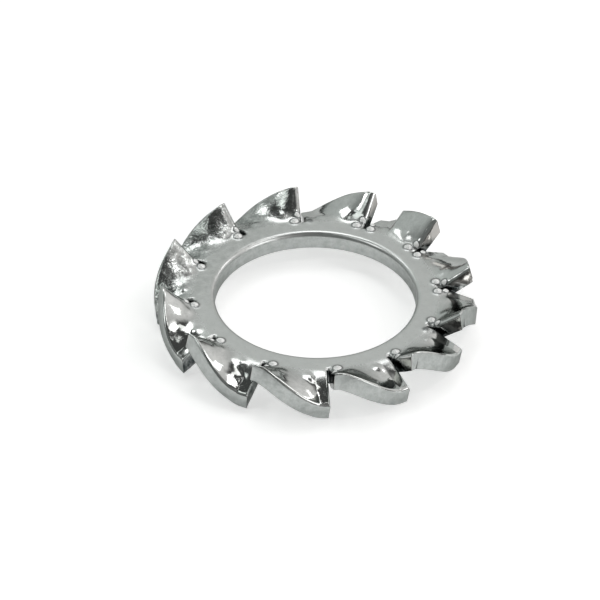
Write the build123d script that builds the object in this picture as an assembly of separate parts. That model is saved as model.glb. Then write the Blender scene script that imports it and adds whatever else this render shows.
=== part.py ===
"""External-tooth lock washer, stamped from sheet, with twisted teeth.

One piece. Millimetres, +Z up. The origin lies on the bore axis, halfway
through the sheet of the flat ring. Seen from above, the clockwise end of every
tooth is raised and its counter-clockwise end is lowered.
"""
import os
from math import cos, radians, sin, sqrt, tan

from build123d import *

# Driving sizes, all lengths in mm
BORE_DIAMETER = 6.6
RING_WIDTH = 0.75            # from the bore to the bottoms of the slots
TOOTH_DEPTH = 1.25           # from the bottoms of the slots to the rim
SHEET = 0.6                  # thickness of the sheet
TOOTH_COUNT = 12
TOOTH_RAISE = 0.84           # lift of the sheet's middle at the raised end, at the rim
TOOTH_DROP = 0.58            # fall of the sheet's middle at the lowered end, at the rim
SLOT_AT_ROOT = 0.10          # width of a slot at its bottom, seen from above
SLOT_AT_RIM = 0.20           # width of a slot at the rim, seen from above
WAVE_ANGLE = 78.0            # degrees of a sine wave between a tooth's middle and its end
FIRST_TOOTH_ANGLE = 21.3     # degrees from +X to the middle of the first tooth
BORE_EDGE_RADIUS = 0.08      # roll-over round the upper edge of the bore
RIM_EDGE_RADIUS = 0.09       # roll-over round the upper edge of a tooth's rim
EASE = 0.30                  # share of a tooth's length over which its twist sets in
RIM_LEAN = 1.2               # how far the rim's wall leans where a tooth is bent up or down
ROWS_ALONG = 8               # steps that shape a tooth's faces along its length
ROWS_ACROSS = 10             # and across its width
SURFACE_TOLERANCE = 0.0005

# Sizes that follow from them
bore_radius = BORE_DIAMETER / 2
root_radius = bore_radius + RING_WIDTH
outer_radius = root_radius + TOOTH_DEPTH
pitch_angle = 360 / TOOTH_COUNT
bend_reach = root_radius * cos(radians(pitch_angle / 2))   # from the axis to a tooth's bend line
tooth_length = outer_radius - bend_reach
half_sheet = SHEET / 2
tooth_middle_lift = (TOOTH_RAISE - TOOTH_DROP) / 2
tooth_swing = (TOOTH_RAISE + TOOTH_DROP) / 2
safe_height = 4 * SHEET                                    # taller than the flat ring


def half_width(x):
    """Half the width of a tooth, seen from above, at a distance x from the axis."""
    half_pitch = x * tan(radians(pitch_angle / 2))
    share = (x - bend_reach) / tooth_length
    slot = SLOT_AT_ROOT + (SLOT_AT_RIM - SLOT_AT_ROOT) * share
    return half_pitch - slot / 2


def twist_share(x):
    """Part of the full twist reached at a distance x: none in the ring, one at the rim."""
    share = (x - bend_reach) / tooth_length
    if share < EASE:
        grown = share * share / (2 * EASE)
    else:
        grown = share - EASE / 2
    return grown / (1 - EASE / 2)


def wave(u, x):
    """Height of the sheet's middle at u, which runs from -1 (raised) to +1, and its slope across."""
    turn = radians(WAVE_ANGLE)
    share = twist_share(x)
    height = share * (tooth_middle_lift - tooth_swing * sin(turn * u) / sin(turn))
    slope = -share * tooth_swing * turn * cos(turn * u) / sin(turn) / half_width(x)
    return height, slope


def rim_reach(u):
    """Distance from the axis line, along the tooth, at which the blank's round rim crosses u."""
    x = outer_radius
    for _ in range(6):
        x = sqrt(outer_radius ** 2 - (half_width(x) * u) ** 2)
    return x


def shortening(u):
    """How much of a tooth's length is left, seen from above, once it is bent up or down at u."""
    height, _ = wave(u, outer_radius)
    return tooth_length / sqrt(tooth_length ** 2 + height ** 2)


def face_point(u, step, side):
    """Point on the upper (side +1) or lower (side -1) face, a step from bend line to rim."""
    x = bend_reach + (rim_reach(u) - bend_reach) * step
    height, slope = wave(u, x)
    length = sqrt(1 + slope * slope)
    y = half_width(x) * u - side * half_sheet * slope / length
    lean = side * half_sheet * RIM_LEAN * height / outer_radius
    reach = bend_reach + (x - bend_reach) * shortening(u) - lean
    return Vector(reach, y, height + side * half_sheet / length)


def tooth_face(side):
    """Upper (side +1) or lower (side -1) face of a tooth as one smooth surface."""
    steps = [i / ROWS_ALONG for i in range(ROWS_ALONG + 1)]
    places = [2 * i / ROWS_ACROSS - 1 for i in range(ROWS_ACROSS + 1)]
    grid = [[face_point(u, step, side) for u in places] for step in steps]
    return Face.make_surface_from_array_of_points(grid, tol=SURFACE_TOLERANCE, min_deg=3, max_deg=5)


def side_wall(upper, lower, which):
    """Sheared side wall of a tooth, between the matching edges of its two faces."""
    edges = [face.edges().sort_by(Axis.Y)[which] for face in (upper, lower)]
    return Face.make_surface_from_curves(*edges)


def rim_wall(upper, lower):
    """Sheared outer wall of a tooth, between the rim edges of its two faces."""
    edges = [face.edges().sort_by(Axis.X)[-1] for face in (upper, lower)]
    return Face.make_surface_from_curves(*edges)


def inner_end(faces):
    """Flat end of a tooth at its bend line, bounded by the inner edges of the faces round it."""
    edges = [face.edges().sort_by(Axis.X)[0] for face in faces]
    return Face(Wire(edges))


def roll_over(tooth):
    """Round the upper edge of a tooth's rim."""
    upper = tooth.faces().sort_by(Axis.Z)[-1]
    edge = upper.edges().sort_by(Axis.X)[-1]
    return fillet(edge, RIM_EDGE_RADIUS)


def make_tooth():
    """One twisted tooth along +X, the upper edge of its rim rolled over."""
    upper = tooth_face(1)
    lower = tooth_face(-1)
    walls = [side_wall(upper, lower, which) for which in (0, -1)]
    round_faces = [upper, walls[0], lower, walls[1]]
    ends = [inner_end(round_faces), rim_wall(upper, lower)]
    return roll_over(Solid(Shell(round_faces + ends)))


def make_ring():
    """Flat ring inside the bend lines, with the upper edge of the bore rolled over."""
    outline = RegularPolygon(bend_reach, TOOTH_COUNT, major_radius=False, rotation=FIRST_TOOTH_ANGLE)
    ring = Pos(0, 0, -half_sheet) * extrude(outline, SHEET) - Cylinder(bore_radius, safe_height)
    bore_edge = ring.edges().filter_by(GeomType.CIRCLE).sort_by(Axis.Z)[-1]
    return fillet(bore_edge, BORE_EDGE_RADIUS)


def make_washer():
    """Ring and teeth as one solid."""
    tooth = make_tooth()
    turns = [FIRST_TOOTH_ANGLE + pitch_angle * i for i in range(TOOTH_COUNT)]
    teeth = [Rot(0, 0, turn) * tooth for turn in turns]
    washer = make_ring()
    for one in teeth:
        washer = washer + one
    return washer.solid()


lock_washer = make_washer()
lock_washer.label = "lock_washer"
os.makedirs("parts", exist_ok=True)
export_step(lock_washer, "parts/lock_washer.step")
print("volume", round(lock_washer.volume, 3), "bounds", lock_washer.bounding_box())
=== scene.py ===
"""Looks of a zinc-plated external-tooth lock washer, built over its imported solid.

The washer is one stamped piece. Geometry Nodes lay out its flat blank, with
slots between the teeth, give the blank its thickness and rolled edges, and
then twist every tooth, so that its clockwise end is raised and its
counter-clockwise end lowered, seen from above.
"""

import logging
import math
from dataclasses import asdict, dataclass, field
from enum import Enum
from types import SimpleNamespace

import bmesh
import bpy
from mathutils import Euler, Matrix, Vector

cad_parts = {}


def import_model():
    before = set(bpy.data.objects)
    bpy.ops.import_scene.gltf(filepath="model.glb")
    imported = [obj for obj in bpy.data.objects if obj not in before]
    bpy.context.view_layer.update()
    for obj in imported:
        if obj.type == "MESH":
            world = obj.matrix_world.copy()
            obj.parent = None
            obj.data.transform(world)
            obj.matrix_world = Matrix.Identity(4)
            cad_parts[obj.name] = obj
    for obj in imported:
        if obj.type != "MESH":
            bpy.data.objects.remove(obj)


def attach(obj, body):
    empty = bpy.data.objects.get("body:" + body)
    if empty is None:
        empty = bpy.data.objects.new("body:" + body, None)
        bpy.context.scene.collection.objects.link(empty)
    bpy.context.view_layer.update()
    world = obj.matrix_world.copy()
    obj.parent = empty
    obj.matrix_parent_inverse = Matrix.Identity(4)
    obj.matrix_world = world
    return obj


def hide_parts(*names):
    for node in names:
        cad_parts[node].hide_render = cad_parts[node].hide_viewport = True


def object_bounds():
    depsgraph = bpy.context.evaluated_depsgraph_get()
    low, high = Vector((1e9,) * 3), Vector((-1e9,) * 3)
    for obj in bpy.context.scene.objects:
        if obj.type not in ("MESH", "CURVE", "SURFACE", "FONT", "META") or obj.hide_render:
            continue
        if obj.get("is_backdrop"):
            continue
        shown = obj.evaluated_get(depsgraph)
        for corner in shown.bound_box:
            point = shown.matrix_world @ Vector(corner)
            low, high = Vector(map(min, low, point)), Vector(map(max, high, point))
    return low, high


LOG = logging.getLogger("lock_washer")
MM = 0.001
MERGE_DISTANCE = 1.0e-4 * MM
SHARP_EDGE = math.radians(50.0)
Colour = tuple[float, float, float]
Span = tuple[float, float]
Material = bpy.types.Material
Node = bpy.types.Node
Socket = bpy.types.NodeSocket


class Zone(Enum):
    """Names of the attributes that tell the plating where it lies."""

    RIM = "rim_distance"
    SLOT = "slot_distance"
    POLISH = "polish"
    PEARL = "pearl"


@dataclass(frozen=True)
class Value:
    """One number of a node tree, which Python's own signs can reckon with."""

    graph: "Graph"
    socket: Socket

    def __add__(self, other: "Value | float") -> "Value":
        """Sum of two values."""
        return self.graph.math("ADD", self, other)

    __radd__ = __add__

    def __sub__(self, other: "Value | float") -> "Value":
        """Difference of two values."""
        return self.graph.math("SUBTRACT", self, other)

    def __rsub__(self, other: float) -> "Value":
        """Difference with a number on the left."""
        return self.graph.math("SUBTRACT", other, self)

    def __mul__(self, other: "Value | float") -> "Value":
        """Product of two values."""
        return self.graph.math("MULTIPLY", self, other)

    __rmul__ = __mul__

    def __truediv__(self, other: "Value | float") -> "Value":
        """Quotient of two values."""
        return self.graph.math("DIVIDE", self, other)

    def __rtruediv__(self, other: float) -> "Value":
        """Quotient with a number on the left."""
        return self.graph.math("DIVIDE", other, self)

    def __neg__(self) -> "Value":
        """The value with its sign turned."""
        return self * -1.0


@dataclass(frozen=True)
class Graph:
    """A node tree under construction, with short names for the nodes used here."""

    tree: bpy.types.NodeTree

    def node(self, kind: str, **settings: object) -> Node:
        """Add a node.

        Args:
            kind: Node type name.
            settings: Properties set on the node.

        Returns:
            The new node.
        """
        made = self.tree.nodes.new(kind)
        for name, setting in settings.items():
            setattr(made, name, setting)
        return made

    def feed(self, target: Socket, source: object) -> None:
        """Link a value or socket to an input, or set the input to a plain number.

        Args:
            target: Input socket.
            source: Value, socket, number or vector.
        """
        if isinstance(source, Value):
            self.tree.links.new(source.socket, target)
        elif isinstance(source, Socket):
            self.tree.links.new(source, target)
        else:
            target.default_value = source

    def math(self, operation: str, *terms: "Value | float") -> Value:
        """One step of arithmetic.

        Args:
            operation: Name of the operation, as the Math node has it.
            terms: One, two or three terms.

        Returns:
            The result.
        """
        made = self.node("ShaderNodeMath", operation=operation)
        for target, term in zip(made.inputs, terms):
            self.feed(target, term)
        return Value(self, made.outputs[0])

    def sine(self, angle: Value) -> Value:
        """Sine of an angle in radians."""
        return self.math("SINE", angle)

    def cosine(self, angle: Value) -> Value:
        """Cosine of an angle in radians."""
        return self.math("COSINE", angle)

    def root(self, value: Value) -> Value:
        """Square root, with anything below nought taken as nought."""
        return self.math("SQRT", self.math("MAXIMUM", value, 0.0))

    def least(self, first: "Value | float", second: "Value | float") -> Value:
        """The smaller of two values."""
        return self.math("MINIMUM", first, second)

    def most(self, first: "Value | float", second: "Value | float") -> Value:
        """The larger of two values."""
        return self.math("MAXIMUM", first, second)

    def clamp(self, value: Value, low: float = 0.0, high: float = 1.0) -> Value:
        """The value kept between two limits."""
        return self.least(self.most(value, low), high)

    def above(self, value: "Value | float", limit: "Value | float") -> Value:
        """One where the value is over the limit, nought elsewhere."""
        return self.math("GREATER_THAN", value, limit)

    def choose(self, switch: Value, off: "Value | float", on: "Value | float") -> Value:
        """The second value where the switch is one, the first where it is nought.

        Args:
            switch: Nought or one.
            off: Value at nought.
            on: Value at one.

        Returns:
            The chosen value.
        """
        return (1.0 - switch) * off + switch * on

    def length(self, first: Value, second: Value) -> Value:
        """Length of the slope of a right triangle with these two sides."""
        return self.root(first * first + second * second)

    def size_of(self, value: Value) -> Value:
        """The value without its sign."""
        return self.math("ABSOLUTE", value)

    def parts(self, vector: Socket) -> tuple[Value, Value, Value]:
        """The three parts of a vector."""
        made = self.node("ShaderNodeSeparateXYZ")
        self.feed(made.inputs[0], vector)
        return tuple(Value(self, socket) for socket in made.outputs)

    def noise(
        self,
        place: Socket,
        scale: "Value | float",
        detail: float,
        roughness: float = 0.5,
        **settings: object,
    ) -> Node:
        """Add a noise texture.

        Args:
            place: Coordinates to read.
            scale: How many grains lie on one unit of length.
            detail: Number of finer layers.
            roughness: How strong the finer layers are.
            settings: Properties set on the node.

        Returns:
            The noise node, whose first output runs from nought to one.
        """
        made = self.node("ShaderNodeTexNoise", **settings)
        self.feed(made.inputs["Vector"], place)
        self.feed(made.inputs["Scale"], scale)
        made.inputs["Detail"].default_value = detail
        made.inputs["Roughness"].default_value = roughness
        return made

    def blend(self, factor: Value, first: object, second: object) -> Socket:
        """Blend two colours.

        Args:
            factor: Nought for the first colour, one for the second.
            first: Colour or socket.
            second: Colour or socket.

        Returns:
            The blended colour.
        """
        made = self.node("ShaderNodeMix", data_type="RGBA")
        self.feed(made.inputs["Factor"], factor)
        for target, colour in ((made.inputs[6], first), (made.inputs[7], second)):
            self.feed(target, (*colour, 1.0) if isinstance(colour, tuple) else colour)
        return made.outputs[2]


def empty_material(name: str) -> tuple[Material, Graph]:
    """Add a material without nodes.

    Args:
        name: Its name.

    Returns:
        The material, and its tree to build in.
    """
    material = bpy.data.materials.new(name)
    material.use_nodes = True
    material.node_tree.nodes.clear()
    return material, Graph(material.node_tree)


def show(name: str, data: bpy.types.ID) -> bpy.types.Object:
    """Put data into the scene.

    Args:
        name: Name of the object.
        data: Mesh, lamp or camera.

    Returns:
        The new object, at the origin.
    """
    made = bpy.data.objects.new(name, data)
    bpy.context.scene.collection.objects.link(made)
    return made


@dataclass
class TreeInputs:
    """Named inputs of a Geometry Nodes tree and what they are set to."""

    tree: bpy.types.NodeTree
    start: Node
    settings: dict[str, object] = field(default_factory=dict)

    def number(self, graph: Graph, name: str, setting: float) -> Value:
        """Add a named number, whole where its setting is.

        Args:
            graph: Tree that reads it.
            name: Name of the input.
            setting: What the modifier sets it to.

        Returns:
            The input as a value.
        """
        kind = "NodeSocketInt" if isinstance(setting, int) else "NodeSocketFloat"
        return Value(graph, self.add(name, kind, setting))

    def add(self, name: str, kind: str, setting: object) -> Socket:
        """Add one socket to the tree's interface.

        Args:
            name: Name of the input.
            kind: Socket type.
            setting: What the modifier sets it to.

        Returns:
            The matching output of the Group Input node.
        """
        made = self.tree.interface.new_socket(name, in_out="INPUT", socket_type=kind)
        self.settings[made.identifier] = setting
        return self.start.outputs[name]

    def apply(self, modifier: bpy.types.NodesModifier) -> None:
        """Set every input on the modifier by its identifier."""
        for identifier, setting in self.settings.items():
            modifier[identifier] = setting


@dataclass(frozen=True)
class Surface:
    """Masks and noises, from nought to one, that tell the plating where it lies."""

    graph: Graph
    sheared: Value
    slotted: Value
    raised: Value
    polish: Value
    pearl: Value
    cloud: Value
    grain: Value
    pitting: Value


@dataclass(frozen=True)
class ZincPlate:
    """Bright zinc plate: mirror-like on the pressed teeth, satin on the flat ring."""

    colour: Colour = (0.62, 0.635, 0.625)
    edge_tint: Colour = (0.40, 0.41, 0.40)
    pitted_colour: Colour = (0.15, 0.17, 0.16)
    sheared_colour: Colour = (0.50, 0.52, 0.51)
    sheared_shade: Colour = (0.36, 0.38, 0.37)
    # Painted shade on the slot walls: streaked near black low in the slots, and a lighter, lit wall
    # colour where the wall stands high.
    slot_painted_shade: Colour = (0.34, 0.35, 0.35)
    slot_painted_deep_shade: Colour = (0.05, 0.06, 0.06)
    open_wall_lit_colour: Colour = (0.44, 0.425, 0.41)
    # Painted highlight: each pearl is coloured near white and made mostly non-metallic, standing in
    # for the lamps' highlight on it.
    pearl_painted_highlight: Colour = (0.95, 0.96, 0.95)
    # Painted shade: a dark ring round the foot of each pearl.
    pearl_foot_painted_shade: Colour = (0.22, 0.23, 0.23)
    pearl_shine: float = 0.12
    bright_roughness: float = 0.08
    satin_roughness: float = 0.28
    sheared_roughness: float = 0.38
    grain_size: float = 0.06 * MM
    ripple_size: float = 0.22 * MM
    least_pitting: float = 0.17
    pitting_start: float = 0.5 * MM
    pitting_spread: float = 3.0 * MM
    pitting_front: float = -1.0 * MM
    pitting_fade: float = 1.5 * MM
    ring_pitting: float = 0.35
    wall_pitting: float = 0.7
    relief_depth: float = 0.02 * MM
    wall_edge: float = 0.02 * MM
    open_wall_start: float = 0.25 * MM
    open_wall_spread: float = 0.3 * MM
    noise_roughness: float = 0.55
    blotch_start: float = 0.36
    blotch_gain: float = 3.5
    streak_start: float = 0.42
    streak_gain: float = 6.0
    least_mottling: float = 0.08
    most_mottling: float = 0.7
    satin_spread: float = 0.03
    bright_spread: float = 0.08
    pearl_highlight_edge: Span = (0.20, 0.34)
    foot_shade_edge: Span = (0.03, 0.13)

    def make(self) -> Material:
        """Build the material.

        Returns:
            The plating as a procedural material.
        """
        material, graph = empty_material("zinc_plate")
        out = graph.node("ShaderNodeOutputMaterial")
        shader = graph.node("ShaderNodeBsdfPrincipled")
        graph.feed(out.inputs["Surface"], shader.outputs["BSDF"])
        shader.inputs["Specular Tint"].default_value = (*self.edge_tint, 1.0)
        at = self._surface(graph)
        # Painted highlight on the pearls: a near-white, mostly matt blob over each pearl's cap.
        painted_highlight = self._between(at.pearl, self.pearl_highlight_edge)
        # Painted shade in a dark ring round each pearl's foot.
        foot_painted_shade = self._between(at.pearl, self.foot_shade_edge)
        foot_shaded = graph.blend(foot_painted_shade, self._colour(at), self.pearl_foot_painted_shade)
        colour = graph.blend(painted_highlight, foot_shaded, self.pearl_painted_highlight)
        graph.feed(shader.inputs["Base Color"], colour)
        graph.feed(shader.inputs["Metallic"], 1.0 - painted_highlight * (1.0 - self.pearl_shine))
        graph.feed(shader.inputs["Roughness"], self._roughness(at))
        graph.feed(shader.inputs["Normal"], self._relief(at))
        return material

    def _surface(self, graph: Graph) -> Surface:
        """Read the washer's coordinates and its own attributes.

        Args:
            graph: The material's tree.

        Returns:
            What they say of each place. The pitting is least on the ring, and
            strongest on one side and on the sheared walls.
        """
        place = graph.node("ShaderNodeTexCoord").outputs["Object"]
        x, y, z = graph.parts(place)
        rim, slot, polish, pearl = (self._attribute(graph, zone) for zone in Zone)
        sheared, slotted = (1.0 - graph.clamp(far / self.wall_edge) for far in (rim, slot))
        # Height over which the painted shade on the slot walls gives way to the lighter, lit wall
        # colour.
        raised = graph.clamp((z - self.open_wall_start) / self.open_wall_spread)
        cloud, grain = (
            Value(graph, graph.noise(place, 1.0 / size, detail, self.noise_roughness).outputs[0])
            for size, detail in ((self.ripple_size, 3.0), (self.grain_size, 4.0))
        )
        left = (self.pitting_start - x) / self.pitting_spread
        behind = graph.clamp((y - self.pitting_front) / self.pitting_fade)
        strength = graph.clamp(left * behind, self.least_pitting, 1.0)
        faces = strength * graph.choose(polish, self.ring_pitting, 1.0)
        pitting = graph.most(faces, sheared * self.wall_pitting)
        return Surface(graph, sheared, slotted, raised, polish, pearl, cloud, grain, pitting)

    def _attribute(self, graph: Graph, zone: Zone) -> Value:
        """One of the washer's own attributes as a number."""
        made = graph.node("ShaderNodeAttribute", attribute_name=zone.value)
        return Value(graph, made.outputs["Fac"])

    def _between(self, value: Value, span: Span) -> Value:
        """Even step from nought at the start of a span to one at its end."""
        return value.graph.clamp((value - span[0]) / (span[1] - span[0]))

    def _colour(self, at: Surface) -> Socket:
        """Colour: duller on sheared walls, painted shade in the slots (dark and streaked low down,
        lighter high up), faintly clouded.

        Args:
            at: What is known of each place.

        Returns:
            The colour, without the pearls.
        """
        graph = at.graph
        cloud = at.cloud * 0.6 + at.grain * 0.4
        blotch = graph.clamp((cloud - self.blotch_start) * self.blotch_gain)
        wall = graph.blend(blotch, self.sheared_shade, self.sheared_colour)
        mottling = at.pitting * self.most_mottling + self.least_mottling
        mottled = (1.0 - blotch) * graph.clamp(mottling, 0.0, self.most_mottling)
        clouded = graph.blend(mottled, self.colour, self.pitted_colour)
        # Painted shade low in the slots, streaked; it fades to the lit wall colour higher up.
        streak = graph.clamp((cloud - self.streak_start) * self.streak_gain)
        deep_painted_shade = graph.blend(streak, self.slot_painted_deep_shade, self.slot_painted_shade)
        slots = graph.blend(at.raised, deep_painted_shade, self.open_wall_lit_colour)
        return graph.blend(at.slotted, graph.blend(at.sheared, clouded, wall), slots)

    def _roughness(self, at: Surface) -> Value:
        """Roughness: satin ring, bright teeth, dull sheared walls, broken up by grain.

        Args:
            at: What is known of each place.

        Returns:
            The roughness.
        """
        face = at.graph.choose(at.polish, self.satin_roughness, self.bright_roughness)
        level = at.graph.choose(at.sheared, face, self.sheared_roughness)
        spread = at.graph.choose(at.polish, self.satin_spread, self.bright_spread)
        return level + (at.grain - 0.5) * spread

    def _relief(self, at: Surface) -> Socket:
        """Small relief of the plating, which makes its reflections uneven.

        Args:
            at: What is known of each place.

        Returns:
            The normal.
        """
        bump = at.graph.node("ShaderNodeBump")
        bump.inputs["Strength"].default_value = 1.0
        bump.inputs["Distance"].default_value = self.relief_depth
        height = (at.cloud * 0.9 + at.grain * 0.3) * at.pitting
        at.graph.feed(bump.inputs["Height"], height)
        return bump.outputs["Normal"]


@dataclass(frozen=True)
class Bulge:
    """A bulge beside the bottom of a slot, in shares of a pearl's radius."""

    away: float
    beyond: float
    width: float


INNER_PEARL = Bulge(0.95, -0.15, 1.0)
OUTER_PEARL = Bulge(0.75, 1.1, 0.8)
SHOULDER = Bulge(2.9, 1.3, 1.3)


@dataclass
class LockWasher:
    """The stamped washer. Lengths are in metres, angles in radians."""

    bore_radius: float = 3.3 * MM
    ring_width: float = 0.75 * MM
    tooth_depth: float = 1.25 * MM
    sheet: float = 0.6 * MM
    teeth: int = 12
    tooth_raise: float = 0.84 * MM
    tooth_drop: float = 0.58 * MM
    slot_at_root: float = 0.10 * MM
    slot_at_rim: float = 0.20 * MM
    wave_angle: float = math.radians(78.0)
    rim_lean: float = 1.2
    first_tooth_angle: float = math.radians(21.3)
    ease: float = 0.30
    bore_roll: float = 0.16 * MM
    tooth_roll: float = 0.09 * MM
    end_roll: float = 0.14 * MM
    burr_roll: float = 0.02 * MM
    raised_strip: float = 0.26 * MM
    lowered_strip: float = 0.46 * MM
    raised_strip_slope: float = 0.15
    lowered_strip_slope: float = 0.20
    crease: float = 0.05 * MM
    creasing: float = 0.5
    pearl_height: float = 0.10 * MM
    pearl_radius: float = 0.23 * MM
    pearl_shift: float = 0.3
    pearl_reach: float = 2.2
    outer_pearl_share: float = 0.75
    swell_height: float = 0.04 * MM
    odd_tooth: int = 1
    odd_rise: float = 0.22 * MM
    odd_lift: float = 0.33 * MM
    odd_step: float = 0.29
    odd_step_width: float = 0.07
    odd_lift_start: float = 0.75
    odd_lift_width: float = 0.95
    ripple_height: float = 0.022 * MM
    ripple_length: float = 0.42 * MM
    ring_ripple: float = 0.2
    onset: float = 3.0
    unevenness: float = 0.07
    battered_tooth: int = 6
    battering: float = 2.5
    battered_reach: float = 2.5
    battered_gain: float = 2.5
    battered_start: float = 0.3
    columns_across: int = 48
    slot_columns: int = 8
    ring_rows: int = 20
    tooth_rows: int = 28
    seed: int = 7

    @property
    def root_radius(self) -> float:
        """From the axis to the bottoms of the slots."""
        return self.bore_radius + self.ring_width

    @property
    def rim_radius(self) -> float:
        """From the axis to the outer ends of the teeth."""
        return self.root_radius + self.tooth_depth

    def build(self, finish: Material) -> bpy.types.Object:
        """Build the washer as a plain mesh.

        Args:
            finish: Material of the whole washer.

        Returns:
            The finished object, at the origin.
        """
        holder = show("washer_tree", bpy.data.meshes.new("washer_tree"))
        tree = bpy.data.node_groups.new("twisted_tooth_washer", "GeometryNodeTree")
        tree.interface.new_socket("Geometry", in_out="OUTPUT", socket_type="NodeSocketGeometry")
        inputs = TreeInputs(tree, tree.nodes.new("NodeGroupInput"))
        self._grow(Graph(tree), inputs, finish)
        modifier = holder.modifiers.new("washer", "NODES")
        modifier.node_group = tree
        inputs.apply(modifier)
        bpy.context.view_layer.update()
        evaluated = holder.evaluated_get(bpy.context.evaluated_depsgraph_get())
        mesh = bpy.data.meshes.new_from_object(evaluated)
        mesh.name = "toothed_washer"
        bpy.data.objects.remove(holder)
        if not mesh.materials:
            mesh.materials.append(finish)
        return show("toothed_washer", mesh)

    def _grow(self, graph: Graph, inputs: TreeInputs, finish: Material) -> None:
        """Lay out the whole tree.

        Args:
            graph: Tree to build in.
            inputs: Receives the named inputs.
            finish: Material that the tree sets.
        """
        layout = BlankLayout(graph, self._sizes(graph, inputs))
        body = layout.thicken(layout.flat_blank())
        real = graph.node("GeometryNodeRealizeInstances")
        graph.feed(real.inputs[0], layout.smooth(layout.press(body)))
        dressed = graph.node("GeometryNodeSetMaterial")
        graph.feed(dressed.inputs["Geometry"], real.outputs[0])
        chosen = inputs.add("Finish", "NodeSocketMaterial", finish)
        graph.feed(dressed.inputs["Material"], chosen)
        end = graph.node("NodeGroupOutput")
        graph.feed(end.inputs[0], dressed.outputs[0])

    def _sizes(self, graph: Graph, inputs: TreeInputs) -> SimpleNamespace:
        """Add one named input for every size.

        Args:
            graph: Tree to build in.
            inputs: Receives the named inputs.

        Returns:
            The sizes by name, with the root and rim radius in place of their parts.
        """
        sizes = asdict(self) | {"root_radius": self.root_radius, "rim_radius": self.rim_radius}
        for folded in ("ring_width", "tooth_depth"):
            del sizes[folded]
        made = SimpleNamespace()
        for key, size in sizes.items():
            setattr(made, key, inputs.number(graph, key.replace("_", " ").title(), size))
        return made


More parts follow.
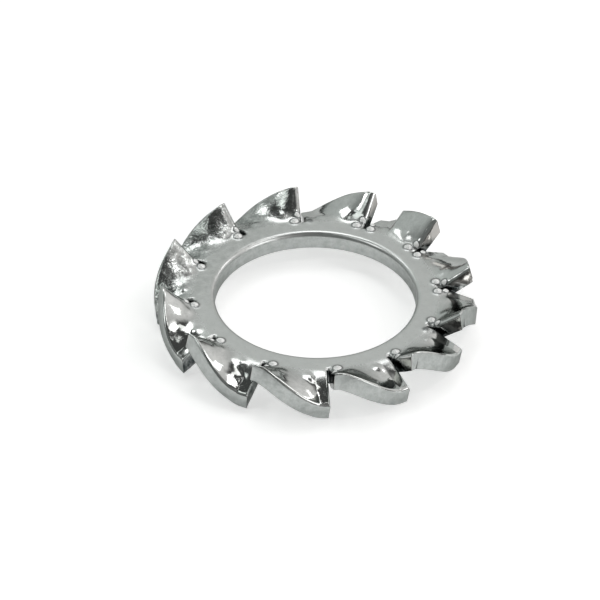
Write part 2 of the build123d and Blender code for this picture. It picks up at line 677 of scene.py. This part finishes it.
class BlankLayout:
    """Field work of the washer's tree: flat blank, thickness and pressed teeth."""

    def __init__(self, graph: Graph, sizes: SimpleNamespace) -> None:
        """Keep the tree and its sizes.

        Args:
            graph: Tree to build in.
            sizes: Named sizes of the washer.
        """
        self.graph = graph
        self.size = sizes
        self.pitch = math.tau / sizes.teeth
        self.bend = sizes.root_radius * graph.cosine(self.pitch / 2.0)

    def _named(self, name: str) -> Value:
        """A number that was stored on the mesh earlier."""
        made = self.graph.node("GeometryNodeInputNamedAttribute", data_type="FLOAT")
        made.inputs["Name"].default_value = name
        return Value(self.graph, made.outputs["Attribute"])

    def _keep(self, mesh: Socket, values: dict[str, Value]) -> Socket:
        """Keep numbers on the mesh's points.

        Args:
            mesh: Mesh.
            values: What to keep, by the attribute's name.

        Returns:
            The mesh with the attributes.
        """
        for name, value in values.items():
            made = self.graph.node("GeometryNodeStoreNamedAttribute", data_type="FLOAT")
            self.graph.feed(made.inputs["Geometry"], mesh)
            made.inputs["Name"].default_value = name
            self.graph.feed(made.inputs["Value"], value)
            mesh = made.outputs["Geometry"]
        return mesh

    def _place(self) -> tuple[Value, Value, Value]:
        """The three coordinates of a point."""
        return self.graph.parts(self.graph.node("GeometryNodeInputPosition").outputs[0])

    def _move(
        self, geometry: Socket, x: Value, y: Value, z: "Value | float"
    ) -> Socket:
        """Put every point at new coordinates.

        Args:
            geometry: Mesh.
            x: New first coordinate.
            y: New second coordinate.
            z: New third coordinate.

        Returns:
            The moved mesh.
        """
        joined = self.graph.node("ShaderNodeCombineXYZ")
        for target, part in zip(joined.inputs, (x, y, z)):
            self.graph.feed(target, part)
        made = self.graph.node("GeometryNodeSetPosition")
        self.graph.feed(made.inputs["Geometry"], geometry)
        self.graph.feed(made.inputs["Position"], joined.outputs[0])
        return made.outputs["Geometry"]

    def _merge(self, geometry: Socket) -> Socket:
        """Join points that lie on each other.

        Args:
            geometry: Mesh.

        Returns:
            The joined mesh.
        """
        made = self.graph.node("GeometryNodeMergeByDistance")
        self.graph.feed(made.inputs["Geometry"], geometry)
        made.inputs["Distance"].default_value = MERGE_DISTANCE
        return made.outputs["Geometry"]

    def _flip(self, geometry: Socket) -> Socket:
        """Turn the faces over.

        Args:
            geometry: Mesh.

        Returns:
            The turned mesh.
        """
        made = self.graph.node("GeometryNodeFlipFaces")
        self.graph.feed(made.inputs[0], geometry)
        return made.outputs[0]

    def flat_blank(self) -> Socket:
        """Flat washer with open slots, its points kept close together along its edges.

        Returns:
            The blank as a single layer of faces that look up.
        """
        graph, size = self.graph, self.size
        period = size.columns_across + size.slot_columns
        columns = size.teeth * period
        rows = size.ring_rows + size.tooth_rows
        grid = graph.node("GeometryNodeMeshGrid")
        for axis, steps in (("X", columns), ("Y", rows)):
            graph.feed(grid.inputs[f"Size {axis}"], steps)
            graph.feed(grid.inputs[f"Vertices {axis}"], steps + 1.0)
        x, y, _ = self._place()
        column = graph.math("ROUND", x + columns / 2.0)
        row = graph.math("ROUND", y + rows / 2.0)
        mesh = self._keep(grid.outputs["Mesh"], {"column": column, "row": row})
        mesh = self._lay_out(self._cut_slots(mesh, period), period)
        return self._flip(self._merge(mesh))

    def _cut_slots(self, mesh: Socket, period: Value) -> Socket:
        """Remove the faces between the teeth.

        Args:
            mesh: Grid with its column and row kept.
            period: Columns from one tooth to the next.

        Returns:
            The grid with open slots.
        """
        graph, size = self.graph, self.size
        local = graph.math("FLOORED_MODULO", self._named("column"), period)
        between = graph.above(local, size.columns_across)
        outside = graph.above(self._named("row"), size.ring_rows)
        made = graph.node("GeometryNodeDeleteGeometry", domain="FACE", mode="ALL")
        graph.feed(made.inputs["Geometry"], mesh)
        graph.feed(made.inputs["Selection"], between * outside)
        return made.outputs["Geometry"]

    def _lay_out(self, mesh: Socket, period: Value) -> Socket:
        """Bend the grid round the axis, one period of columns to a tooth and its slot.

        Args:
            mesh: Grid with open slots.
            period: Columns from one tooth to the next.

        Returns:
            The flat ring of teeth.
        """
        graph, size = self.graph, self.size
        column, row = self._named("column"), self._named("row")
        tooth = graph.math("FLOOR", column / period)
        local = column - tooth * period
        across = graph.sine((graph.clamp(local / size.columns_across) - 0.5) * math.pi)
        in_slot = graph.clamp((local - size.columns_across) / size.slot_columns)
        slot_side = graph.cosine(in_slot * math.pi) * -1.0
        slot_radius = size.slot_at_root / 2.0
        dip = slot_radius * graph.root(1.0 - slot_side * slot_side) * graph.above(in_slot, 0.0)
        inner = (1.0 - graph.cosine(graph.clamp(row / size.ring_rows) * math.pi)) / 2.0
        beyond = graph.clamp((row - size.ring_rows) / size.tooth_rows)
        outer = (1.0 - graph.cosine(beyond * math.pi)) / 2.0
        ring_radius = size.bore_radius + (size.root_radius - dip - size.bore_radius) * inner
        radius = ring_radius + (size.rim_radius - size.root_radius) * outer
        slot = size.slot_at_root + (size.slot_at_rim - size.slot_at_root) * outer
        slot_turn = slot / 2.0 / graph.most(radius, size.root_radius)
        tooth_turn = across * (self.pitch / 2.0 - slot_turn)
        turn = tooth_turn + graph.above(in_slot, 0.0) * (slot_side + 1.0) * slot_turn
        whole = size.first_tooth_angle + tooth * self.pitch + turn
        number = graph.math("FLOORED_MODULO", tooth, size.teeth)
        mesh = self._keep(mesh, {"tooth": number, "turn": turn, "radius": radius})
        return self._move(mesh, radius * graph.cosine(whole), radius * graph.sine(whole), 0.0)

    def thicken(self, blank: Socket) -> Socket:
        """Give the blank its thickness.

        Args:
            blank: Single layer of faces that look up.

        Returns:
            A closed body, its upper points one sheet above its lower ones.
        """
        graph = self.graph
        up = graph.node("ShaderNodeCombineXYZ")
        graph.feed(up.inputs["Z"], self.size.sheet)
        raised = graph.node("GeometryNodeExtrudeMesh", mode="FACES")
        graph.feed(raised.inputs["Mesh"], blank)
        graph.feed(raised.inputs["Offset"], up.outputs[0])
        raised.inputs["Offset Scale"].default_value = 1.0
        raised.inputs["Individual"].default_value = False
        both = graph.node("GeometryNodeJoinGeometry")
        graph.feed(both.inputs[0], raised.outputs["Mesh"])
        graph.feed(both.inputs[0], self._flip(blank))
        return self._merge(both.outputs[0])

    def _uneven(self, tooth: Value, step: int) -> Value:
        """A factor near one that differs from tooth to tooth.

        Args:
            tooth: Number of the tooth.
            step: Added to the seed, so that each use differs.

        Returns:
            The factor.
        """
        graph = self.graph
        made = graph.node("FunctionNodeRandomValue", data_type="FLOAT")
        floats = [socket for socket in made.inputs if socket.enabled]
        graph.feed(floats[0], 1.0 - self.size.unevenness)
        graph.feed(floats[1], 1.0 + self.size.unevenness)
        graph.feed(made.inputs["ID"], tooth)
        graph.feed(made.inputs["Seed"], self.size.seed + float(step))
        return Value(graph, next(socket for socket in made.outputs if socket.enabled))

    def _half_width(self, reach: Value) -> Value:
        """Half the width of a tooth.

        Args:
            reach: Distance from the axis.

        Returns:
            The width's half.
        """
        graph, size = self.graph, self.size
        share = (reach - self.bend) / (size.rim_radius - self.bend)
        slot = size.slot_at_root + (size.slot_at_rim - size.slot_at_root) * share
        return reach * graph.math("TANGENT", self.pitch / 2.0) - slot / 2.0

    def _twist_share(self, reach: Value) -> Value:
        """Part of the full twist: none in the ring, one at the rim.

        Args:
            reach: Distance from the axis.

        Returns:
            The share.
        """
        graph, size = self.graph, self.size
        share = graph.most((reach - self.bend) / (size.rim_radius - self.bend), 0.0)
        early = share * share / (2.0 * size.ease)
        late = share - size.ease / 2.0
        grown = graph.choose(graph.above(share, size.ease), early, late)
        return grown / (1.0 - size.ease / 2.0)

    def _slot_distance(self, radius: Value, turn: Value) -> Value:
        """Distance along the flat blank to the nearest slot.

        Args:
            radius: Distance from the axis.
            turn: Angle from the tooth's middle line.

        Returns:
            The distance.
        """
        graph, size = self.graph, self.size
        depth = size.rim_radius - size.root_radius
        share = graph.clamp((radius - size.root_radius) / depth)
        slot = size.slot_at_root + (size.slot_at_rim - size.slot_at_root) * share
        sideways = radius * graph.size_of(self.pitch / 2.0 - graph.size_of(turn))
        inwards = graph.most(size.root_radius - radius, 0.0)
        return graph.most(graph.length(sideways, inwards) - slot / 2.0, 0.0)

    def _rolled(self, distance: Value, roll: Value) -> Value:
        """Fall of a rounded edge at a distance from the wall.

        Args:
            distance: Distance to the wall.
            roll: Radius of the rounding.

        Returns:
            How far the face lies below its flat level.
        """
        inside = roll - self.graph.least(distance, roll)
        return roll - self.graph.root(roll * roll - inside * inside)

    def press(self, body: Socket) -> Socket:
        """Bend the teeth, roll the edges and raise the pearls at the slot bottoms.

        Args:
            body: Closed flat body.

        Returns:
            The pressed washer, centred on the middle of its sheet.
        """
        graph, size = self.graph, self.size
        _, _, z = self._place()
        side = graph.above(z, size.sheet / 2.0) * 2.0 - 1.0
        tooth, turn, radius = (self._named(name) for name in ("tooth", "turn", "radius"))
        reach = radius * graph.cosine(turn)
        sideways = radius * graph.sine(turn)
        half_width = self._half_width(reach)
        u = graph.clamp(sideways / half_width, -1.0, 1.0)
        share = self._twist_share(reach)
        height, slope = self._bent(u, share, half_width, tooth)
        slot = self._slot_distance(radius, turn)
        bore_distance = graph.most(radius - size.bore_radius, 0.0)
        rim = graph.least(size.rim_radius - radius, bore_distance)
        upper = graph.above(side, 0.0)
        roll = graph.choose(upper, size.burr_roll, size.tooth_roll)
        end_roll = graph.choose(upper * graph.above(0.0, u), roll, size.end_roll)
        bore_roll = graph.choose(upper, size.burr_roll, size.bore_roll)
        fall = self._rolled(size.rim_radius - radius, roll)
        for distance, rounding in ((bore_distance, bore_roll), (slot, end_roll)):
            fall = graph.most(fall, self._rolled(distance, rounding))
        pearls, shoulders = self._swell(radius, turn, u, tooth)
        swell = (pearls * size.pearl_height + shoulders * size.swell_height) * upper
        half = size.sheet / 2.0 - fall + swell + self._ripple(share, self._battered(u, tooth))
        steep = graph.root(slope * slope + 1.0)
        local_y = sideways - side * half * slope / steep
        local_z = height + side * half / steep
        lean = side * half * size.rim_lean * height / size.rim_radius
        local_x = self._shortened(reach, u, half_width, tooth) - lean
        angle = size.first_tooth_angle + tooth * self.pitch
        x = local_x * graph.cosine(angle) - local_y * graph.sine(angle)
        y = local_x * graph.sine(angle) + local_y * graph.cosine(angle)
        told = (rim, slot, graph.clamp(share * size.onset), pearls * upper)
        mesh = self._keep(body, {zone.value: value for zone, value in zip(Zone, told)})
        return self._move(mesh, x, y, local_z)

    def _shortened(self, reach: Value, u: Value, half_width: Value, tooth: Value) -> Value:
        """Place along a tooth, seen from above, once the tooth is bent up or down.

        Args:
            reach: Place along the flat tooth.
            u: From -1 at the raised end to 1 at the lowered end.
            half_width: Half the width of the tooth there.
            tooth: Number of the tooth.

        Returns:
            The place on the bent tooth.
        """
        graph = self.graph
        length = self.size.rim_radius - self.bend
        height, _ = self._bent(u, graph.math("ADD", 1.0, 0.0), half_width, tooth)
        left = length / graph.length(length, height)
        beyond = graph.most(reach - self.bend, 0.0)
        return reach + beyond * (left - 1.0)

    def _bent(self, u: Value, share: Value, half_width: Value, tooth: Value) -> tuple[Value, Value]:
        """Height and slope of the sheet's middle across a tooth.

        A smooth wave is blended with a creased one, in which the middle slopes
        evenly and a flatter strip runs along each end.

        Args:
            u: From -1 at the raised end to 1 at the lowered end.
            share: Part of the full twist.
            half_width: Half the width of the tooth there.
            tooth: Number of the tooth.

        Returns:
            Height and slope.
        """
        graph, size = self.graph, self.size
        odd = graph.math("COMPARE", tooth, size.odd_tooth, 0.1)
        rise = (size.tooth_raise * self._uneven(tooth, 1) + odd * size.odd_rise) * share
        fall = size.tooth_drop * share * self._uneven(tooth, 2)
        swing = (rise + fall) / 2.0
        lowest = graph.sine(size.wave_angle)
        soft = -graph.sine(size.wave_angle * u) / lowest
        soft_slope = -size.wave_angle * graph.cosine(size.wave_angle * u) / lowest / half_width
        from_raised = (u + 1.0) * half_width
        from_lowered = (1.0 - u) * half_width
        raised_gain, lowered_gain = 1.0 - size.raised_strip_slope, 1.0 - size.lowered_strip_slope
        saved = raised_gain * size.raised_strip + lowered_gain * size.lowered_strip
        steepness = 2.0 / (half_width * 2.0 - saved)
        in_raised = self._inside(from_raised, size.raised_strip)
        in_lowered = self._inside(from_lowered, size.lowered_strip)
        creased_slope = -steepness * (1.0 - raised_gain * in_raised - lowered_gain * in_lowered)
        raised_part = graph.least(from_raised, size.raised_strip) * raised_gain
        lowered_part = graph.most(size.lowered_strip - from_lowered, 0.0) * lowered_gain
        creased = 1.0 - steepness * (from_raised - raised_part - lowered_part)
        level = soft + (creased - soft) * size.creasing
        slope = soft_slope + (creased_slope - soft_slope) * size.creasing
        height = (rise - fall) / 2.0 + swing * level
        return height + odd * size.odd_lift * share * self._kink(u), swing * slope

    def _inside(self, distance: Value, strip: Value) -> Value:
        """One within a strip along an end, nought beyond its crease."""
        graph, size = self.graph, self.size
        return graph.clamp((strip - distance) / size.crease + 0.5)

    def _kink(self, u: Value) -> Value:
        """Lift of the one odd tooth's middle, which ends in a short steep step.

        Args:
            u: From -1 at the raised end to 1 at the lowered end.

        Returns:
            Share of the full lift.
        """
        graph, size = self.graph, self.size
        step = graph.clamp((size.odd_step - u) / size.odd_step_width)
        return step * graph.clamp((u + size.odd_lift_start) / size.odd_lift_width)

    def _swell(self, radius: Value, turn: Value, u: Value, tooth: Value) -> tuple[Value, Value]:
        """The bulges that pressing leaves round the bottom of each slot.

        Args:
            radius: Distance from the axis on the flat blank.
            turn: Angle from the tooth's middle line.
            u: Place across the tooth, from -1 at the raised end to 1 at the lowered end.
            tooth: Number of the tooth.

        Returns:
            Share of full height of the pearls, and of the flatter shoulders beside them.
        """
        graph, size = self.graph, self.size
        away = radius * (self.pitch / 2.0 - graph.size_of(turn))
        beyond = radius - size.root_radius
        raised = graph.above(0.0, u)
        inner = self._bulge(away, beyond, INNER_PEARL, raised * size.pearl_shift)
        outer = self._bulge(away, beyond, OUTER_PEARL)
        half_round = size.teeth / 2.0
        from_first = graph.size_of(graph.math("WRAP", tooth, half_round, -half_round))
        near = graph.clamp(size.pearl_reach - from_first)
        both = graph.most(inner * self._uneven(tooth, 3), outer * size.outer_pearl_share)
        return both * graph.most(raised, near), self._bulge(away, beyond, SHOULDER)

    def _bulge(
        self, away: Value, beyond: Value, shape: Bulge, shift: "Value | float" = 0.0
    ) -> Value:
        """A smooth round bulge, one at its middle and almost nought at its width.

        Args:
            away: Distance from the slot's middle line.
            beyond: Distance from the slot's bottom towards the rim.
            shape: Where the bulge lies and how wide it is.
            shift: How much further from the slot it lies, in pearl radii.

        Returns:
            The bulge's height.
        """
        width = self.size.pearl_radius
        across = away - width * (shift + shape.away)
        along = beyond - width * shape.beyond
        far = self.graph.length(across, along) / (width * shape.width)
        return self.graph.math("EXPONENT", far * far * -4.0)

    def _battered(self, u: Value, tooth: Value) -> Value:
        """How battered the lowered end of a tooth is: most on the teeth of one side.

        Args:
            u: From -1 at the raised end to 1 at the lowered end.
            tooth: Number of the tooth.

        Returns:
            From nought to one.
        """
        graph, size = self.graph, self.size
        away = graph.size_of(tooth - size.battered_tooth)
        side = graph.clamp(size.battered_reach - away)
        return side * graph.clamp(u * size.battered_gain - size.battered_start)

    def _ripple(self, share: Value, battered: Value) -> Value:
        """Slight unevenness of the faces, least on the flat ring.

        Args:
            share: Part of the full twist.
            battered: How battered the place is.

        Returns:
            Height above or below the even face.
        """
        graph, size = self.graph, self.size
        place = graph.node("GeometryNodeInputPosition").outputs[0]
        noise = graph.noise(place, 1.0 / size.ripple_length, 1.5, noise_dimensions="4D")
        graph.feed(noise.inputs["W"], size.seed + 0.0)
        level = Value(graph, noise.outputs[0]) - 0.5
        strength = graph.clamp(share * size.onset) * (1.0 + battered * size.battering)
        strength = strength + size.ring_ripple
        return level * size.ripple_height * strength

    def smooth(self, mesh: Socket) -> Socket:
        """Shade the faces smooth, but leave the lower edges crisp.

        Args:
            mesh: Pressed washer.

        Returns:
            The shaded mesh.
        """
        graph = self.graph
        soft = graph.node("GeometryNodeSetShadeSmooth", domain="FACE")
        graph.feed(soft.inputs["Geometry"], mesh)
        soft.inputs["Shade Smooth"].default_value = True
        angle = graph.node("GeometryNodeInputMeshEdgeAngle")
        sharp = graph.above(Value(graph, angle.outputs["Unsigned Angle"]), SHARP_EDGE)
        crisp = graph.node("GeometryNodeSetShadeSmooth", domain="EDGE")
        graph.feed(crisp.inputs["Geometry"], soft.outputs[0])
        graph.feed(crisp.inputs["Selection"], sharp)
        crisp.inputs["Shade Smooth"].default_value = False
        return crisp.outputs[0]


@dataclass(frozen=True)
class Lamp:
    """One soft square lamp. Angles are in degrees, azimuth from +X and elevation from the floor."""

    name: str
    azimuth: float
    elevation: float
    side: float
    level: float
    distance: float = 0.30

    def build(self) -> None:
        """Hang the lamp, facing the washer."""
        data = bpy.data.lights.new(self.name, "AREA")
        data.shape = "SQUARE"
        data.size = self.side
        data.energy = self.level * math.pi * self.side * self.side
        lamp = show(self.name, data)
        turn, lift = math.radians(self.azimuth), math.radians(self.elevation)
        level = math.cos(lift)
        direction = Vector((level * math.cos(turn), level * math.sin(turn), math.sin(lift)))
        lamp.location = direction * self.distance
        lamp.rotation_euler = (-direction).to_track_quat("-Z", "Y").to_euler()


@dataclass(frozen=True)
class LightTent:
    """Round tent of pale cloth, lighter behind and on the right, with folds above."""

    radius: float = 0.45
    front_level: float = 0.20
    back_level: float = 0.44
    right_level: float = 0.45
    left_tint: Colour = (0.95, 1.0, 0.97)
    right_tint: Colour = (1.0, 0.98, 0.965)
    horizon_level: float = 0.10
    fold_level: float = 1.5
    fold_scale: float = 3.1
    least_fold: float = 0.05
    back_span: Span = (-0.25, 0.55)
    right_span: Span = (0.1, 0.9)
    horizon_span: Span = (0.02, 0.18)
    ceiling_span: Span = (0.76, 0.88)
    fold_span: Span = (0.53, 0.57)
    tint_span: Span = (-0.4, 0.6)

    def build(self) -> None:
        """Set up the tent, which the camera looks through."""
        mesh = bpy.data.meshes.new("tent")
        shape = bmesh.new()
        bmesh.ops.create_uvsphere(shape, u_segments=64, v_segments=32, radius=self.radius)
        shape.to_mesh(mesh)
        shape.free()
        tent = show("tent", mesh)
        mesh.materials.append(self._cloth())
        tent.visible_camera = False
        tent.visible_shadow = False
        tent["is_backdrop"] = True

    def _cloth(self) -> Material:
        """Glowing cloth whose level follows the place on the tent.

        Returns:
            The tent's material.
        """
        material, graph = empty_material("tent_cloth")
        place = graph.node("ShaderNodeTexCoord").outputs["Object"]
        x, y, z = (part / self.radius for part in graph.parts(place))
        level = self.front_level + self._ramp(graph, y, self.back_span) * self.back_level
        level = level + self._ramp(graph, x, self.right_span) * self.right_level
        lifted = self._ramp(graph, z, self.horizon_span)
        level = level * graph.choose(lifted, self.horizon_level, 1.0)
        noise = graph.noise(place, self.fold_scale / self.radius, 1.0)
        folds = self.least_fold + self._ramp(graph, Value(graph, noise.outputs[0]), self.fold_span)
        high = self._ramp(graph, z, self.ceiling_span)
        level = graph.choose(high, level, folds * self.fold_level)
        tint = graph.blend(self._ramp(graph, x, self.tint_span), self.left_tint, self.right_tint)
        glow = graph.node("ShaderNodeEmission")
        graph.feed(glow.inputs["Color"], tint)
        graph.feed(glow.inputs["Strength"], level)
        out = graph.node("ShaderNodeOutputMaterial")
        graph.feed(out.inputs["Surface"], glow.outputs[0])
        return material

    def _ramp(self, graph: Graph, value: Value, span: Span) -> Value:
        """Smooth step from nought at the low end to one at the high end.

        Args:
            graph: The material's tree.
            value: What to follow.
            span: Where the step starts and ends.

        Returns:
            The step's level.
        """
        made = graph.node("ShaderNodeMapRange", interpolation_type="SMOOTHSTEP")
        graph.feed(made.inputs["Value"], value)
        made.inputs["From Min"].default_value, made.inputs["From Max"].default_value = span
        return Value(graph, made.outputs[0])


@dataclass(frozen=True)
class Studio:
    """Pale floor, light tent, lamps and camera. Lengths are in metres."""

    floor_size: float = 0.7
    floor_colour: Colour = (0.92, 0.92, 0.92)
    floor_glow: float = 0.42
    camera_distance: float = 140.8 * MM
    camera_elevation: float = math.radians(37.44)
    camera_roll: float = math.radians(0.90)
    camera_target: tuple[float, float, float] = (0.0, 0.0, -0.3 * MM)
    field_of_view: float = math.radians(8.0)
    image_width: float = 600.0
    origin_right: float = 15.3
    origin_up: float = 8.0
    lamps: tuple[Lamp, ...] = (
        Lamp("right_front", -28.0, 26.0, 0.14, 2.0),
        Lamp("right_back", 32.0, 37.0, 0.06, 2.8),
        Lamp("right_high", 0.0, 63.0, 0.06, 2.8),
        Lamp("left_front", -165.0, 45.0, 0.08, 2.6),
        Lamp("left_back", 140.0, 48.0, 0.07, 2.6),
        Lamp("back_high", 90.0, 66.0, 0.13, 2.2),
    )

    def build(self, lowest: float) -> None:
        """Set up everything that isn't the washer.

        Args:
            lowest: Height of the floor.
        """
        bpy.context.scene.view_settings.view_transform = "Standard"
        self._world()
        self._floor(lowest)
        LightTent().build()
        for lamp in self.lamps:
            lamp.build()
        self._camera()

    def _world(self) -> None:
        """White background behind the tent."""
        world = bpy.data.worlds.new("studio_world")
        bpy.context.scene.world = world
        world.use_nodes = True
        background = world.node_tree.nodes["Background"]
        background.inputs["Color"].default_value = (1.0, 1.0, 1.0, 1.0)
        background.inputs["Strength"].default_value = 1.0

    def _floor(self, lowest: float) -> None:
        """Pale matt floor that takes the washer's shadow.

        Args:
            lowest: Height of the floor.
        """
        half = self.floor_size / 2
        mesh = bpy.data.meshes.new("floor")
        outline = ((-half, -half), (half, -half), (half, half), (-half, half))
        mesh.from_pydata([(x, y, lowest) for x, y in outline], [], [(0, 1, 2, 3)])
        floor = show("floor", mesh)
        material = bpy.data.materials.new("floor_white")
        material.use_nodes = True
        shader = material.node_tree.nodes["Principled BSDF"]
        shader.inputs["Base Color"].default_value = (*self.floor_colour, 1.0)
        shader.inputs["Roughness"].default_value = 1.0
        shader.inputs["Specular IOR Level"].default_value = 0.0
        shader.inputs["Emission Color"].default_value = (1.0, 1.0, 1.0, 1.0)
        graph = Graph(material.node_tree)
        rays = graph.node("ShaderNodeLightPath")
        kinds = ("Camera", "Glossy", "Transmission")
        camera, glossy, through = (Value(graph, rays.outputs[f"Is {kind} Ray"]) for kind in kinds)
        seen = graph.most(graph.most(camera, glossy), through)
        graph.feed(shader.inputs["Emission Strength"], seen * self.floor_glow)
        mesh.materials.append(material)
        floor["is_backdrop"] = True

    def _camera(self) -> None:
        """Camera at the photograph's angle, aimed so that the washer lies where it does there."""
        data = bpy.data.cameras.new("camera")
        data.sensor_fit = "HORIZONTAL"
        data.sensor_width = 36.0
        data.lens = data.sensor_width / 2 / math.tan(self.field_of_view / 2)
        data.clip_start = 0.001
        data.clip_end = 10.0
        camera = show("camera", data)
        bpy.context.scene.camera = camera
        turn = Euler((math.pi / 2 - self.camera_elevation, 0.0, 0.0)).to_matrix()
        turn = turn @ Matrix.Rotation(self.camera_roll, 3, "Z")
        pixel = 2 * self.camera_distance * math.tan(self.field_of_view / 2) / self.image_width
        aim = Vector((-self.origin_right * pixel, self.origin_up * pixel, self.camera_distance))
        place = Vector(self.camera_target) + turn @ aim
        camera.matrix_world = Matrix.Translation(place) @ turn.to_4x4()


def main() -> None:
    """Build the washer and the studio round it, and report each piece."""
    logging.basicConfig(level=logging.INFO, format="%(name)s: %(message)s")
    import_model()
    solid_box = [list(corner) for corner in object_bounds()]
    finish = ZincPlate().make()
    washer = LockWasher().build(finish)
    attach(washer, "root")
    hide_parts("lock_washer")
    LOG.info("%s: %d faces", washer.name, len(washer.data.polygons))
    lowest = min(solid_box[0][2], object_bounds()[0][2])
    Studio().build(lowest)
    LOG.info("studio: floor at %.2f mm", lowest / MM)


if __name__ == "__main__":
    main()
